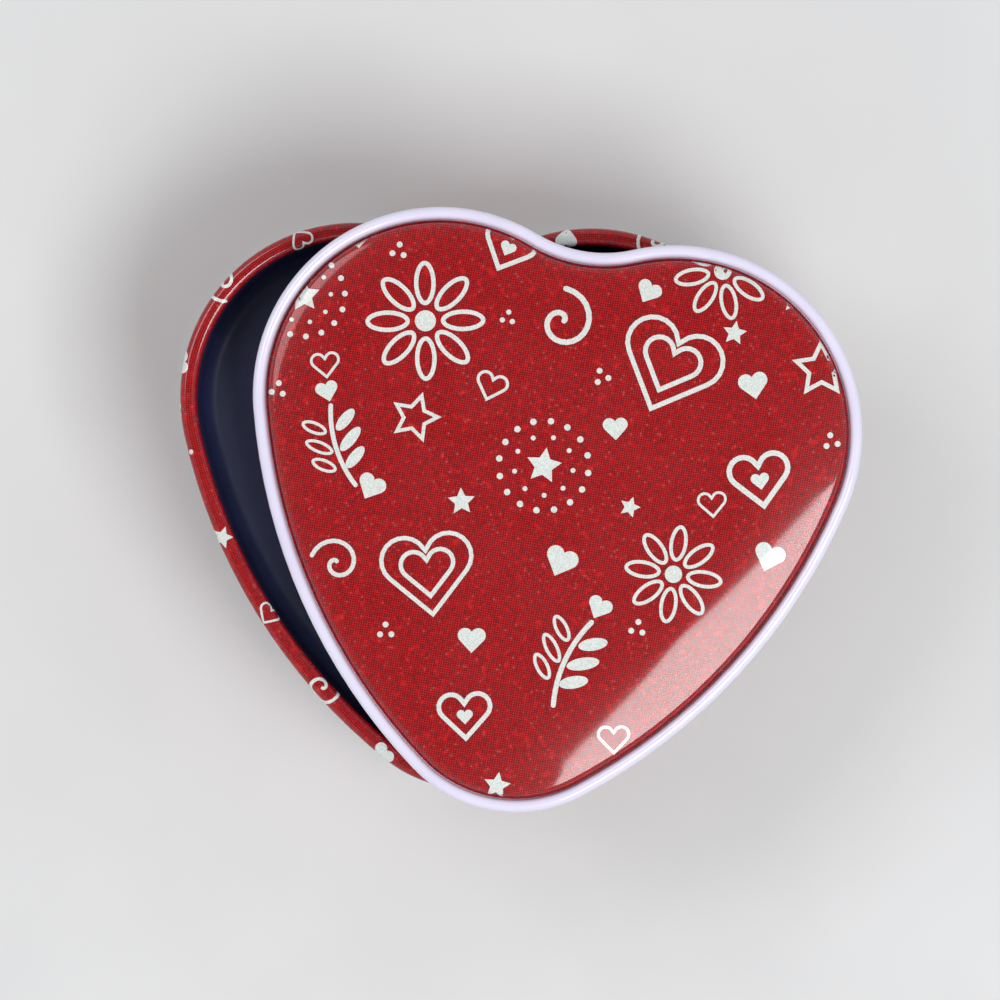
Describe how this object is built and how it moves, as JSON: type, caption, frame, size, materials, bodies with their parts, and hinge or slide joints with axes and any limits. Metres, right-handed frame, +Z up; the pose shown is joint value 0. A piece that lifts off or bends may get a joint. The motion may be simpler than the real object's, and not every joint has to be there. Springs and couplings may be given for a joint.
{
  "type": "wind up music box",
  "caption": "Heart-shaped tin wind-up music box: lift-off domed lid, inner tray, and a pinned-cylinder movement with comb, governor and winding key.",
  "frame": {"origin": "middle of the outline seen from above, lid included, at the underside of the bottom seam the box stands on", "axes": "+Z up; +Y from the point of the body's heart towards the hollow between its lobes; +X to the right seen from above, the way the resting lid is pushed"},
  "size_m": [0.1278, 0.1122, 0.0597],
  "materials": {
    "printed_red": "printed tinplate under clear gloss varnish",
    "lavender_enamel": "gloss enamel on rolled tinplate",
    "navy_plastic": "satin moulded tray",
    "plain_tin": "bare tinplate",
    "cast_zinc": "die-cast zinc, satin",
    "drive_brass": "satin",
    "drum_brass": "polished",
    "key_brass": "polished",
    "arbor_steel": "ground",
    "screw_steel": "nickel plated",
    "spring_steel": "blued",
    "pin_steel": "drawn",
    "comb_steel": "ground and hardened",
    "tuning_lead": "dull lead",
    "white_nylon": "moulded nylon"
  },
  "bodies": {
    "case": {"body_band": "printed_red", "bottom_plate": "plain_tin", "inner_tray": "navy_plastic", "bedplate": "cast_zinc", "bedplate_screws": "screw_steel", "spring_housing": "plain_tin", "housing_screws": "screw_steel", "mainspring": "spring_steel", "comb": "comb_steel", "comb_screws": "screw_steel", "bass_weights": "tuning_lead", "governor_frame": "drive_brass", "governor_screws": "screw_steel"},
    "lid": {"lid_rim": "lavender_enamel", "lid_panel": "printed_red"},
    "winder": {"winding_arbor": "arbor_steel", "winding_key": "key_brass"},
    "drive": {"drive_wheel": "drive_brass", "clutch_spring": "spring_steel"},
    "cylinder": {"cylinder_drum": "drum_brass", "cylinder_pins": "pin_steel", "cylinder_arbor": "arbor_steel", "cylinder_pinion": "white_nylon", "cylinder_wheel": "white_nylon"},
    "second": {"second_arbor": "arbor_steel", "second_pinion": "white_nylon", "worm_wheel": "white_nylon"},
    "governor": {"worm_shaft": "arbor_steel", "air_brake": "white_nylon"}
  },
  "joints": [
    {"name": "lid_lift", "type": "slide", "parent": "case", "child": "lid", "axis": [0, 0, 1], "range_m": [0, 0.06]},
    {"name": "key_wind", "type": "hinge", "parent": "case", "child": "winder", "pos_m": [-0.01962, 0.0054, 0.006], "axis": [0, 0, 1], "continuous": true},
    {"name": "cylinder_spin", "type": "hinge", "parent": "case", "child": "cylinder", "pos_m": [-0.00462, 0.0054, 0.0236], "axis": [1, 0, 0], "continuous": true},
    {"name": "drive_spin", "type": "hinge", "parent": "case", "child": "drive", "pos_m": [-0.01962, 0.0054, 0.0174], "axis": [0, 0, 1], "continuous": true},
    {"name": "second_spin", "type": "hinge", "parent": "case", "child": "second", "pos_m": [0.01838, -0.00287, 0.0206], "axis": [1, 0, 0], "continuous": true},
    {"name": "governor_spin", "type": "hinge", "parent": "case", "child": "governor", "pos_m": [0.02008, -0.00817, 0.0206], "axis": [0, 0, 1], "continuous": true}
  ],
  "couplings": [
    {"joint": "drive_spin", "follows": "cylinder_spin", "ratio": 0.33333},
    {"joint": "second_spin", "follows": "cylinder_spin", "ratio": -4.5},
    {"joint": "governor_spin", "follows": "cylinder_spin", "ratio": -72}
  ]
}
